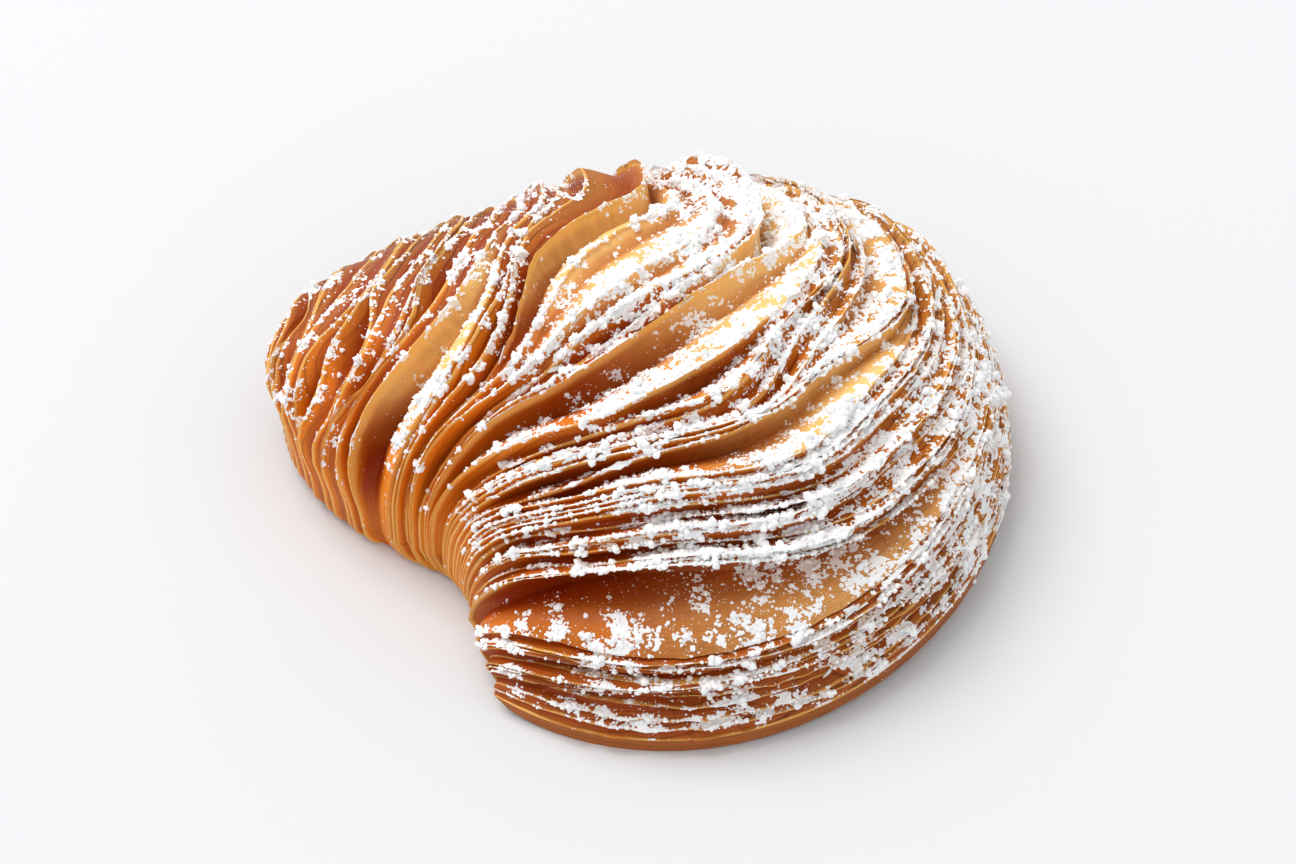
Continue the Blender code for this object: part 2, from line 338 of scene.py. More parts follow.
class Graph:
    """Builds one node tree: make() adds any node, and value() gives one of its outputs."""

    def __init__(self, tree):
        self.tree = tree

    def make(self, kind, settings=None, inputs=None):
        node = self.tree.nodes.new(kind)
        for name, setting in (settings or {}).items():
            setattr(node, name, setting)
        for name, given in (inputs or {}).items():
            self.plug(node.inputs[name], given)
        return node

    def plug(self, socket, given):
        if isinstance(given, Value):
            self.tree.links.new(given.socket, socket)
        else:
            socket.default_value = given

    def value(self, kind, settings=None, inputs=None, output=0):
        return Value(self, self.make(kind, settings, inputs).outputs[output])

    def subtracted(self, first, second):
        """One vector less another."""
        return self.value("ShaderNodeVectorMath", {"operation": "SUBTRACT"}, {0: first, 1: second})

    def scaled(self, vector, factor):
        inputs = {0: vector, "Scale": factor}
        return self.value("ShaderNodeVectorMath", {"operation": "SCALE"}, inputs)

    def combined(self, x, y, z):
        return self.value("ShaderNodeCombineXYZ", {}, {"X": x, "Y": y, "Z": z})

    def separated(self, vector):
        node = self.make("ShaderNodeSeparateXYZ", {}, {0: vector})
        return tuple(Value(self, socket) for socket in node.outputs)

    def noise(self, vector, scale, detail=2.0, roughness=0.5):
        inputs = {"Vector": vector, "Scale": scale, "Detail": detail, "Roughness": roughness}
        return self.value("ShaderNodeTexNoise", {}, inputs)

    def pattern(self, *place, detail=1.0):
        """Noise over any three numbers, rather than over a place."""
        return self.noise(self.combined(*place), 1.0, detail=detail)

    def randomly(self, low, high, seed):
        """A random vector at each point."""
        inputs = {"Min": low, "Max": high, "Seed": seed}
        return self.value("FunctionNodeRandomValue", {"data_type": "FLOAT_VECTOR"}, inputs)

    def mixed(self, factor, first, second, blend="MIX"):
        """Two colours through a Mix node."""
        settings = {"data_type": "RGBA", "blend_type": blend}
        return self.value("ShaderNodeMix", settings, {0: factor, 6: first, 7: second}, output=2)


def new_node_group(name, inputs, outputs):
    """A Geometry Nodes tree with named sockets: (graph, {input name: Value}, output node)."""
    tree = bpy.data.node_groups.new(name, "GeometryNodeTree")
    for direction, sockets in (("INPUT", inputs), ("OUTPUT", outputs)):
        for socket_name, (kind, default) in sockets.items():
            socket = tree.interface.new_socket(socket_name, in_out=direction, socket_type=kind)
            if default is not None:
                socket.default_value = default
    graph = Graph(tree)
    entry = graph.make("NodeGroupInput")
    leave = graph.make("NodeGroupOutput")
    given = {name: Value(graph, entry.outputs[name]) for name in inputs}
    return graph, given, leave


def finished(graph, leave, geometry, material):
    """The tree, ended in plain mesh with its material."""
    solid = graph.value("GeometryNodeRealizeInstances", {}, {"Geometry": geometry})
    inputs = {"Geometry": solid, "Material": material}
    dressed = graph.value("GeometryNodeSetMaterial", {}, inputs)
    graph.plug(leave.inputs["Geometry"], dressed)
    return graph.tree


def spread(graph, surface, density, seed):
    """Points strewn over a surface, and its normals there."""
    points = graph.make(
        "GeometryNodeDistributePointsOnFaces",
        {"distribute_method": "RANDOM"},
        {"Mesh": surface, "Density": density, "Seed": seed},
    )
    return Value(graph, points.outputs["Points"]), Value(graph, points.outputs["Normal"])


def laid(graph, points, shape, rotation, scale):
    """A copy of a shape at each point."""
    inputs = {"Points": points, "Instance": shape, "Rotation": rotation, "Scale": scale}
    return graph.value("GeometryNodeInstanceOnPoints", {}, inputs)


def add_modifier(obj, tree, values):
    """Puts a tree on an object, with its inputs set by identifier."""
    modifier = obj.modifiers.new(tree.name, "NODES")
    modifier.node_group = tree
    for item in tree.interface.items_tree:
        if item.item_type == "SOCKET" and item.in_out == "INPUT" and item.name in values:
            modifier[item.identifier] = values[item.name]


def settle(obj):
    """Turns what an object's modifiers make into its own plain mesh."""
    depsgraph = bpy.context.evaluated_depsgraph_get()
    mesh = bpy.data.meshes.new_from_object(
        obj.evaluated_get(depsgraph), preserve_all_data_layers=True, depsgraph=depsgraph
    )
    obj.modifiers.clear()
    mesh.name = obj.name
    obj.data = mesh
    return mesh


def strewn(context, name, tree, values):
    """A new piece that a tree strews over the leaves, turned into its own plain mesh."""
    piece = bpy.data.objects.new(name, bpy.data.objects["pastry_leaves"].data.copy())
    context.scene.collection.objects.link(piece)
    add_modifier(piece, tree, values)
    if not settle(piece).polygons:
        raise RuntimeError(name + " came out empty")
    return piece


def new_material(name):
    """An empty material, and the graph that fills it."""
    material = bpy.data.materials.new(name)
    material.use_nodes = True
    material.node_tree.nodes.clear()
    return material, Graph(material.node_tree)


def add_shader(graph, inputs):
    """The material's Principled shader and its output."""
    shader = graph.make("ShaderNodeBsdfPrincipled", {}, inputs)
    output = graph.make("ShaderNodeOutputMaterial")
    graph.tree.links.new(shader.outputs[0], output.inputs["Surface"])


def named(graph, name, kind="FLOAT"):
    """An attribute, read in a Geometry Nodes tree."""
    settings = {"data_type": kind}
    return graph.value("GeometryNodeInputNamedAttribute", settings, {"Name": name})


def stored(graph, geometry, name, given, kind="FLOAT"):
    """The geometry with an attribute kept on its points."""
    settings = {"data_type": kind, "domain": "POINT"}
    inputs = {"Geometry": geometry, "Name": name, "Value": given}
    return graph.value("GeometryNodeStoreNamedAttribute", settings, inputs)


# ---------------------------------------------------------------- settings


def a_count(name, description, default, **limits):
    """A setting that is a whole number."""
    return bpy.props.IntProperty(name=name, description=description, default=default, **limits)


def a_number(name, description, default, **kind):
    """A setting that is a number, with its unit or its limits if it has any."""
    return bpy.props.FloatProperty(name=name, description=description, default=default, **kind)


def a_length(name, description, size):
    """A setting that is a length, given in millimetres."""
    return a_number(name, description, size * MM, unit="LENGTH")


def an_angle(name, description, degrees):
    """A setting that is an angle, given in degrees."""
    return a_number(name, description, math.radians(degrees), subtype="ANGLE")


def a_colour(name, description, *channels):
    """A setting that is a colour, given as red, green and blue."""
    return bpy.props.FloatVectorProperty(
        name=name, description=description, default=(*channels, 1.0), subtype="COLOR", size=4
    )


class LeafSettings(bpy.types.PropertyGroup):
    """Sizes of the folded leaves."""

    leaves: a_count("Leaves", "Leaf edges from the tip to the rim", 56, min=20, max=60)
    over_columns: a_count("Columns over", "Steps of a leaf edge over the top", 200, min=40)
    under_columns: a_count("Columns under", "Steps of a leaf edge underneath", 40, min=10)
    edge: a_length("Edge thickness", "Thickness of a leaf where its edge shows", 0.22)
    shallow: a_length("Least depth", "Depth behind a ridge where leaves are pressed together", 0.35)
    steep: a_number("Depth by width", "How much deeper the surface sinks in wider openings", 0.7)
    unrest: a_number("Unrest", "How far ridges wander from their places, in leaf widths", 1.0)
    bundling: a_number("Bundling", "How far leaves gather into bundles", 0.7, min=0, max=1)
    ragged: a_length("Raggedness", "How unevenly leaf edges stand out", 1.3)
    bundle_depth: a_length("Bundle depth", "Depth of the valleys between bundles of leaves", 1.7)
    undercut: a_number("Undercut", "How far an edge hangs over, as a share of the opening", 0.16)
    lean: a_number("Lean", "How far the ridges lean to the rim, as a share of the fan", 0.155)


class FlakeSettings(bpy.types.PropertyGroup):
    """Sizes of the torn flakes."""

    length: a_length("Length", "Of a middling flake", 3.2)
    density: a_number("Density", "Most flakes on each square metre", 0.8e6)
    tilt: an_angle("Tilt", "How far a flake turns up at most", 35)


class CrustSettings(bpy.types.PropertyGroup):
    """Colours of the baked dough, and of the light and shade painted on it."""

    golden: a_colour("Golden", "Dough near the tip", 0.79, 0.195, 0.006)
    # Painted light: a brighter dough laid on the near waist.
    bright: a_colour("Bright", "Dough at the waist", 0.97, 0.31, 0.018)
    # Partly a fine dust of sugar, partly painted shade on the far side.
    dull: a_colour("Dull", "Dough on the far side", 0.43, 0.245, 0.085)
    tan: a_colour("Tan", "Dough in the middle", 0.70, 0.25, 0.020)
    brown: a_colour("Brown", "Dough near the rim", 0.46, 0.122, 0.016)
    pale: a_colour("Pale", "Dough that was covered", 0.99, 0.61, 0.21)
    # Painted shade: the deep red laid where leaves shut out the light.
    deep: a_colour("Deep", "Dough at the bottom of a gap", 0.29, 0.022, 0.001)
    # Partly the edges' own colour, partly a painted highlight.
    edge: a_colour("Edge", "Thin leaf edges", 0.92, 0.51, 0.13)


class SugarSettings(bpy.types.PropertyGroup):
    """Amount and size of the icing sugar."""

    clump: a_length("Clump size", "Width of a lump of sugar", 1.9)
    crumb: a_length("Crumb size", "Width of a middling lump", 0.85)
    grain: a_length("Grain size", "Width of a sugar crumb", 0.5)
    dust: a_length("Dust size", "Width of the finest specks", 0.22)
    cover: a_number("Cover", "How much of the upper side is covered", 0.5, min=0, max=1)


class StageSettings(bpy.types.PropertyGroup):
    """The viewpoint and the floor."""

    elevation: an_angle("Elevation", "Height of the viewpoint", 52)
    distance: a_length("Distance", "From the camera to the pastry", 518.0)
    focal: a_number("Focal length", "Of the lens, in mm", 90.0)
    floor: a_colour("Floor", "Colour of the table", 0.745, 0.75, 0.76)


# ---------------------------------------------------------------- leaves


# The leaf tree's inputs, and the settings that fill them.
LEAF_COUNTS = {
    "Leaves": "leaves",
    "Columns Over": "over_columns",
    "Columns Under": "under_columns",
}
LEAF_SIZES = {
    "Edge": "edge",
    "Least Depth": "shallow",
    "Depth By Width": "steep",
    "Unrest": "unrest",
    "Bundling": "bundling",
    "Ragged": "ragged",
    "Bundle Depth": "bundle_depth",
    "Undercut": "undercut",
    "Lean": "lean",
}


def window(graph, turn, centre, reach):
    """A smooth bump along the arch, 1 at the centre and 0 beyond the reach."""
    offset = (abs(turn - centre) / reach).clamped()
    return (offset * (math.pi / 2)).math("COSINE") ** 2.0


def bundle_angle(graph, number, turn):
    """Where a leaf stands in its bundle: whole turns at the middle, half turns between two."""
    drift = graph.pattern(number * 0.06, turn * 1.1, 13.0, detail=0.0)
    return (number / LEAVES_PER_BUNDLE + drift * 2.5) * math.tau


def ridge_group():
    """Node group: where in the fan a ridge runs, at each place along its arch."""
    names = ("Leaf", "Leaves", "Turn", "Unrest", "Bundling", "Lean")
    sockets = {name: NUMBER for name in names}
    graph, given, leave = new_node_group("ridge_place", sockets, {"Place": NUMBER})
    leaf, leaves, turn = given["Leaf"], given["Leaves"], given["Turn"]

    share = leaf / leaves
    alone = graph.pattern(leaf * 7.31, turn * 3.2, 0.0)
    together = graph.pattern(leaf * 0.42, turn * 2.2, 7.0)
    ripple = graph.pattern(leaf * 3.7, turn * 26.0, 3.0)
    wander = (alone - 0.5) * 1.3 + (together - 0.5) * 2.2 + (ripple - 0.5) * (0.15 + 0.4 * share)
    reach = given["Bundling"] * LEAVES_PER_BUNDLE / math.tau
    gathered = bundle_angle(graph, leaf, turn).math("SINE") * reach
    inside = (share * 12.0).clamped() * ((1.0 - share) * 12.0).clamped()
    place = share + (wander * given["Unrest"] - gathered) * inside / leaves
    whole = turn * 0.0 + 1.0
    for gap in GAPS:
        opened = window(graph, turn, gap.centre, gap.reach) * gap.spread
        whole = whole + opened
        place = place + opened * (share > gap.after)
    place = (place / whole).clamped()
    swing = (place**LEAN_PLACE_POWER * math.pi).math("SINE")
    rising = (turn**LEAN_TURN_POWER * LEAN_TURN_SPAN).at_most(0.5) * math.pi
    falling = ((turn - LEAN_HOLD) / (1.0 - LEAN_HOLD)).clamped() * (math.pi / 2)
    lift = rising.math("SINE") ** 2.0 * falling.math("COSINE") ** 2.0
    graph.plug(leave.inputs["Place"], place + given["Lean"] * swing * lift)
    return graph.tree


def by_slot(graph, slot, values):
    """Picks one of the values by the row's number within its leaf."""
    node = graph.make("GeometryNodeIndexSwitch", {"data_type": "FLOAT"}, {"Index": slot})
    while len(node.index_switch_items) < len(values):
        node.index_switch_items.new()
    for number, given in enumerate(values):
        graph.plug(node.inputs[str(number)], given)
    return Value(graph, node.outputs[0])


def gap_effects(graph, leaf, leaves, arch):
    """What the gaps give a leaf: (depth, paleness, bareness, where its floor lies)."""
    depth, pale, bare = leaf * 0.0, leaf * 0.0, leaf * 0.0
    floor = 0.75 - 0.5 * leaf / leaves
    for gap in GAPS:
        here = abs((gap.after * leaves).math("FLOOR") - leaf) < 0.5
        opened = window(graph, arch, gap.centre, gap.reach) * here
        depth = depth + opened * (gap.depth * MM)
        pale = pale + window(graph, arch, gap.palest, gap.reach * 0.8) * here * gap.pale
        bare = bare + opened * gap.bare
        floor = floor + opened.math("SQRT") * (gap.floor - floor)
    return depth, pale, bare, floor


def leaf_profile(graph, slot, floor, width, given):
    """Between two ridges: (place in the opening, share of the depth) of each row of a leaf.

    The surface falls from the first ridge to the floor, and rises again to the second.
    """
    fall_curve = 0.6 + 1.4 * floor
    rise_curve = 2.0 - 1.4 * floor + (width / MM).ramped(6.0, 16.0) * 1.4
    edge_share = (given["Edge"] / width.at_least(0.05 * MM)).at_most(0.3)
    tucked = given["Undercut"] * (1.0 - 2.0 * floor)
    tuck_first, tuck_second = tucked.at_least(0.0), tucked.at_most(0.0)
    up = 1.0 - floor
    plate = 1.0 - (width / MM).ramped(1.8, 5.0)  # narrow openings are steep-sided
    rows = (
        (0.0, 0.0),
        (floor * 0.25 - tuck_first, (floor * 0.0 + 0.42) ** fall_curve),
        (floor * 0.7 - tuck_first, (floor * 0.0 + 0.82) ** fall_curve),
        (floor, 1.0),
        (floor + up * 0.38 - tuck_second, (0.65 + plate * 0.13) ** rise_curve),
        (floor + up * (0.7 + plate * 0.14) - tuck_second, (0.3 + plate * 0.2) ** rise_curve),
        (1.0 - edge_share, 0.0),
    )
    return tuple(by_slot(graph, slot, values) for values in zip(*rows))


def leaf_tree():
    """Geometry Nodes tree that folds the body sheet into leaves."""
    sockets = {"Geometry": GEOMETRY, "Material": MATERIAL}
    sockets.update({name: ("NodeSocketInt", 40) for name in LEAF_COUNTS})
    sockets.update({name: NUMBER for name in (*LEAF_SIZES, "Table")})
    graph, given, leave = new_node_group("fold_leaves", sockets, {"Geometry": GEOMETRY})
    leaves = given["Leaves"] + 0.0
    over, under = given["Columns Over"] + 0.0, given["Columns Under"] + 0.0
    rows = leaves * ROWS_PER_LEAF + 2.0
    columns = over + under + 1.0
    inputs = {"Size X": 1.0, "Size Y": 1.0, "Vertices X": rows, "Vertices Y": columns}
    grid = graph.value("GeometryNodeMeshGrid", {}, inputs)

    # Which row and column a point is, then its leaf, its row within the leaf and its turn.
    grid_x, grid_y, _ = graph.separated(graph.value("GeometryNodeInputPosition"))
    row = ((grid_x + 0.5) * (rows - 1.0)).math("ROUND")
    column = ((grid_y + 0.5) * (columns - 1.0)).math("ROUND")
    last = row > rows - 1.5
    end = (last + (row < 0.5)).at_most(1.0)  # the rows at the tip and at the rim
    row = row.at_most(rows - 2.0)
    leaf = (row / ROWS_PER_LEAF + 0.001).math("FLOOR")
    slot = row - leaf * ROWS_PER_LEAF
    on_top = column < over + 0.5
    even = column / over
    stepped = (even * under).math("ROUND") / under
    even = even + (stepped - even) * end
    under_turn = 1.0 + (column - over) / under
    turn = even * on_top + under_turn * (1.0 - on_top)
    turn = turn - (turn * math.tau).math("SINE") * (0.35 / math.tau)  # closer at the feet
    arch = turn * on_top + (2.0 - turn) * (1.0 - on_top)
    # The end rows lie doubled on the underside's, which closes both ends.
    turn = turn + (2.0 - 2.0 * turn) * on_top * end
    turn = turn * (turn < 1.9999)

    # The two ridges that the leaf lies between.
    group = ridge_group()
    ridges = []
    for offset in (0.0, 1.0):
        inputs = {"Leaf": leaf + offset, "Leaves": leaves, "Turn": arch}
        inputs.update({name: given[name] for name in ("Unrest", "Bundling", "Lean")})
        ridges.append(graph.value("GeometryNodeGroup", {"node_tree": group}, inputs))
    first, second = ridges

    def on_body(place, name):
        """A layer of the body sheet, at a place in the fan and at this point's turn."""
        uv = graph.combined(place, turn / 2.0, 0.0)
        inputs = {"Mesh": given["Geometry"], "Sample UV": uv}
        inputs["Value"] = named(graph, name, "FLOAT_VECTOR")
        inputs["Source UV Map"] = named(graph, "body_uv", "FLOAT_VECTOR")
        return graph.value("GeometryNodeSampleUVSurface", {"data_type": "FLOAT_VECTOR"}, inputs)

    # How wide the opening is there, in metres, and where in it the point lies.
    stretch, height, _ = graph.separated(on_body((first + second) / 2.0, "measure"))
    width = (second - first) * stretch
    depth, pale, bare, floor = gap_effects(graph, leaf, leaves, arch)
    place, share = leaf_profile(graph, slot, floor, width, given)
    along = (first + (second - first) * place).clamped()
    along = along + (1.0 - along) * last

    # How deep the surface lies there, or how far a ragged edge stands out. The leaves are
    # calmer at the tip, most of all over its far side, and at the far right.
    along_leaves = leaf / leaves
    far_tip = arch.ramped(0.5, 0.75) * (1.3 - along_leaves * 4.0).clamped()
    calm_tip = (0.5 + (along_leaves * 4.0).clamped() * 0.5) * (1.0 - far_tip * 0.65)
    flat_right = 1.0 - along_leaves.ramped(0.45, 0.7) * arch.ramped(0.38, 0.62) * 0.65
    open_width = width.at_most(2.2 * MM)
    varied = 0.2 + graph.pattern(leaf * 2.31, arch * 4.0, 5.0) * 1.6
    ordinary = given["Depth By Width"] * open_width * varied * flat_right
    depth = depth + given["Least Depth"] + ordinary * calm_tip
    sink = depth * share
    ridge_number = leaf + (slot > 3.5)
    slow = graph.pattern(ridge_number * 3.77, arch * 3.3, 4.3)
    quick = graph.pattern(ridge_number * 5.13, arch * 34.0, 9.0, detail=2.0)
    uneven = (slow - 0.6) * 3.2 + (quick - 0.5) * (0.3 + 1.6 * along_leaves)
    rise = uneven * calm_tip * flat_right * given["Ragged"] * (width / (1.2 * MM)).at_most(1.0)
    sink = sink - rise * (1.0 - share)

    # Leaves cling together in bundles, and valleys run between the bundles.
    number = leaf + place
    between = 0.5 - bundle_angle(graph, number, arch).math("COSINE") * 0.5
    strength = graph.pattern(number * 0.17, arch * 2.6, 1.5, detail=0.0)
    valley = between.ramped(0.55, 1.0) * strength.ramped(0.36, 0.56)
    valley = valley * (1.0 - ((width - 2.2 * MM) / (3.0 * MM)).clamped())
    valley = valley * (1.0 - far_tip * 0.7) * flat_right
    sink = sink + valley * given["Bundle Depth"] * (width / (1.1 * MM)).at_most(1.6)
    for horn in HORNS:
        ahead = horn.after * leaves - number
        climb = (1.0 - ahead / horn.before).at_most(1.0 + ahead / horn.behind).clamped()
        sink = sink - window(graph, arch, horn.centre, horn.reach) * climb * (horn.rise * MM)

    # The folds lie flatter at the feet and underneath, and end at the tip and at the rim.
    from_foot = arch.at_most(1.0 - arch).ramped(0.0, 0.10)
    over_top = 0.35 + from_foot * 0.65
    below = 0.35 * (1.0 - from_foot)
    sink = sink * (over_top * on_top + below * (1.0 - on_top))
    sink = sink.at_most(height * 0.45) + share * from_foot * (0.25 * MM) * (1.0 - on_top)
    at_tip = (along * 60.0).clamped()
    sink = sink * at_tip * (1.0 - last)

    outward = on_body(along, "outward")
    position = graph.subtracted(on_body(along, "place"), graph.scaled(outward, sink))
    x, y, z = graph.separated(position)
    position = graph.combined(x, y, z.at_least(given["Table"]))

    # Kept on the points for the materials and the sugar, while they still lie on the flat grid.
    tone = graph.pattern(ridge_number * 11.7, arch * 1.5, 2.0)
    near_ridge = place.at_least(0.0).at_most(1.0 - place).at_least(0.0) * width
    layers = {
        "sink": sink,
        "hidden": share,
        "valley": valley,
        "opening": width,
        "from_ridge": near_ridge + last * (5.0 * MM),
        "pale": pale,
        "bare": bare,
        "tone": tone,
        "along": along,
        "number": number,
        "turn": turn,
    }
    sheet = grid
    for name, kept in layers.items():
        sheet = stored(graph, sheet, name, kept)
    index = graph.value("GeometryNodeInputIndex")
    ahead, behind = (
        graph.value(
            "GeometryNodeFieldAtIndex",
            {"data_type": "FLOAT_VECTOR"},
            {"Index": index + step, "Value": position},
        )
        for step in (1.0, -1.0)
    )
    sheet = stored(graph, sheet, "run", graph.subtracted(ahead, behind), "FLOAT_VECTOR")

    inputs = {"Geometry": sheet, "Position": position}
    folded = graph.value("GeometryNodeSetPosition", {}, inputs)
    inputs = {"Geometry": folded, "Distance": DOUBLED_WITHIN}
    merged = graph.value("GeometryNodeMergeByDistance", {}, inputs)
    smooth = graph.value("GeometryNodeSetShadeSmooth", {}, {"Geometry": merged})
    return finished(graph, leave, smooth, given["Material"])


def make_body_sheet(name):
    """A helper mesh of the smooth body, with a map that runs along the fan and round the arch."""
    rows = np.linspace(0.0, 1.0, SHEET_ROWS)
    rows = np.concatenate([[-SHEET_MARGIN], rows, [1.0 + SHEET_MARGIN]])
    half = (1.0 - np.cos(np.linspace(0.0, np.pi, SHEET_TURNS))) / 2.0
    turns = np.concatenate([[-SHEET_MARGIN], half, 1.0 + half[1:], [2.0 + SHEET_MARGIN]])
    along, turn = np.meshgrid(rows, turns, indexing="ij")
    inside = np.clip(along, 0.0, 1.0)
    wrapped = np.clip(turn, 0.0, 2.0)

    points = body_point(inside, wrapped)
    normals, stretch = body_frame(inside, wrapped)
    height = np.maximum(sections(inside)[..., -1], 0.0)
    low, high = points.reshape(-1, 3).min(axis=0), points.reshape(-1, 3).max(axis=0)
    scale = (CAD_HIGH.x - CAD_LOW.x) / (high[0] - low[0])
    centre = (np.array(CAD_LOW) + np.array(CAD_HIGH)) / 2
    shift = np.array([(low[0] + high[0]) / 2, (low[1] + high[1]) / 2, low[2]])
    points = (points - shift) * scale + [centre[0], centre[1], CAD_LOW.z]

    count = along.shape[1]
    corners = (0, count, count + 1, 1)
    faces = [
        [row * count + column + corner for corner in corners]
        for row in range(len(rows) - 1)
        for column in range(count - 1)
    ]
    mesh = bpy.data.meshes.new(name)
    mesh.from_pydata(points.reshape(-1, 3).tolist(), [], faces)
    measure = np.stack([stretch * scale, height * scale, 0 * stretch], -1)
    flat_uv = np.stack([along, turn / 2, 0 * along], -1)
    layers = {"place": points, "outward": normals, "measure": measure, "body_uv": flat_uv}
    for layer, values in layers.items():
        attribute = mesh.attributes.new(layer, "FLOAT_VECTOR", "POINT")
        attribute.data.foreach_set("vector", values.reshape(-1).astype(np.float32))
    return mesh


def crust_material(settings):
    """Baked dough: golden to brown by place, pale where covered, with painted deep red shade where
    it is hidden, painted light at the waist, and edges partly a painted highlight.
    """
    material, graph = new_material("baked_crust")
    coordinates = graph.value("ShaderNodeTexCoord", {}, {}, "Object")
    golden, bright, dull, tan, brown, pale_dough, deep, edge_tint_and_highlight = (
        tuple(getattr(settings, name)) for name in settings.__annotations__
    )

    def kept(name):
        return graph.value("ShaderNodeAttribute", {"attribute_name": name}, {}, "Fac")

    sink, hidden, from_ridge = kept("sink"), kept("hidden"), kept("from_ridge") / MM
    pale, tone, along, turn = kept("pale"), kept("tone"), kept("along"), kept("turn")
    number, opening = kept("number"), kept("opening") / MM
    x, y, z = (part / MM for part in graph.separated(coordinates))
    patches = graph.noise(coordinates, 70.0, detail=3.0)
    streaks = graph.pattern(number * 2.9, turn * 9.0, 0.0, detail=3.0)
    drift = graph.pattern(number * 0.3, turn * 3.5, 6.0)

    # Which dough lies where, from the tip to the rim, and painted light on the near waist.
    right = x.ramped(-25.0, 45.0)
    middle = (x + (patches - 0.5) * 70.0 + (tone - 0.5) * 60.0).ramped(-12.0, 45.0)
    lower = (along + (patches - 0.5) * 0.5).ramped(0.65, 0.95) * y.ramped(10.0, -30.0)
    # waist: where painted light brightens the near side of the waist.
    waist = x.ramped(-5.0, -30.0) * y.ramped(10.0, -15.0) * along.ramped(0.75, 0.62)
    colour = graph.mixed(middle, golden, tan)
    colour = graph.mixed(lower, colour, brown)
    colour = graph.mixed(waist * 0.5, colour, bright)

    # Faces that the leaves covered while they baked.
    crease = hidden.ramped(0.55, 1.0)
    fade = (pale * 1.5 * (0.55 + patches * 0.9) * (1.0 - crease * 0.45)).clamped()
    colour = graph.mixed(fade, colour, pale_dough)
    # The far side dulled: partly a fine dust of sugar, partly painted shade against the lamp
    # behind.
    far = y.ramped(0.0, 36.0) * (1.0 - fade * 0.8)
    colour = graph.mixed(far * 0.45, colour, dull)

    # Broken scales near the rim, thin leaf lines, and threads on the covered faces.
    scales = {"Vector": graph.combined(along * 130.0, turn * 24.0, 0.0), "Scale": 1.0}
    flat = {"voronoi_dimensions": "2D"}
    cell_tone = graph.separated(graph.value("ShaderNodeTexVoronoi", flat, scales, "Color"))[0]
    flat = {"voronoi_dimensions": "2D", "feature": "DISTANCE_TO_EDGE"}
    cracks_and_shade = 1.0 - graph.value("ShaderNodeTexVoronoi", flat, scales, "Distance").ramped(0.0, 0.12)
    broken = right * (0.35 + patches * 0.9) * (1.0 - fade)
    at_rim = along.ramped(0.93, 0.99) * z
    strata = (number * 3.0 + drift * 5.0 + at_rim * 1.2).math("FRACT")
    thin = (1.0 - opening.ramped(4.0, 9.0)) * (1.0 - fade) * (0.3 + patches)
    thin = thin.at_least(along.ramped(0.96, 1.0) * 0.8)
    shag = graph.pattern(along * 90.0, turn * 75.0, 9.0, detail=2.0)
    shaggy = fade * opening.ramped(2.0, 4.0)

    # How dark the oven baked it, with painted light at the waist and on the pale floors, and
    # painted shade in the leaf lines and cracks.
    # Darker towards the far left of the tip.
    darker_far_left = x.ramped(5.0, -30.0) * y.ramped(-2.0, 28.0)
    shade = 0.71 + tone * 0.4 + (streaks - 0.5) * 0.4 - darker_far_left * 0.38 + waist * 0.15
    # Painted shade in the crease behind each thin leaf line, lighter at its edge.
    shade = shade + (strata.ramped(0.0, 0.35) - 0.8) * thin * 0.6
    # A small painted light on the pale floors of the hollows, against their shade.
    shade = shade + ((shag - 0.5) * 0.5 + 0.14) * shaggy
    # Painted shade along the cracks between the scales.
    shade = (shade + ((cell_tone - 0.5) * 0.5 - cracks_and_shade * 0.55) * broken).clamped()
    shaded = graph.value("ShaderNodeCombineColor", {}, {0: shade, 1: shade, 2: shade})
    colour = graph.mixed(1.0, colour, shaded, "MULTIPLY")

    # Painted shade, deep red, where leaves shut out the light: in gaps, bundle valleys and at the
    # feet of wide hollows.
    low = (sink / (3.4 * MM)).ramped(0.1, 1.0) * (1.0 - fade * 0.7)
    low = low * (0.35 + hidden.ramped(0.05, 0.65) * 0.65)
    opened = 0.3 + opening.ramped(0.4, 2.0) * 0.4
    # covered: how much painted shade lies here.
    covered = (hidden.ramped(0.15, 0.9) * opened * (1.0 - fade)).at_least(low * 0.9)
    covered = covered.at_least(kept("valley") * 0.8) * (1.0 - right * 0.45)
    # Less painted shade at the neck and at the waist.
    neck = turn.ramped(0.45, 0.15) * along.ramped(0.65, 0.45) * along.ramped(0.33, 0.38)
    covered = covered * (1.0 - neck * 0.5) * (1.0 - waist * 0.25)
    # Painted shade at the foot of wide hollows.
    cave = opening.ramped(3.0, 7.0) * turn.ramped(0.26, 0.08)
    covered = covered.at_least(cave * hidden.ramped(0.2, 0.7) * 0.95)
    colour = graph.mixed(covered, colour, deep)
    # Thin leaf edges lighter: partly their own colour, partly a painted highlight.
    edge = (1.0 - from_ridge.ramped(0.05, 0.35)) * (1.0 - hidden.ramped(0.1, 0.5))
    colour = graph.mixed(edge * 0.8, colour, edge_tint_and_highlight)

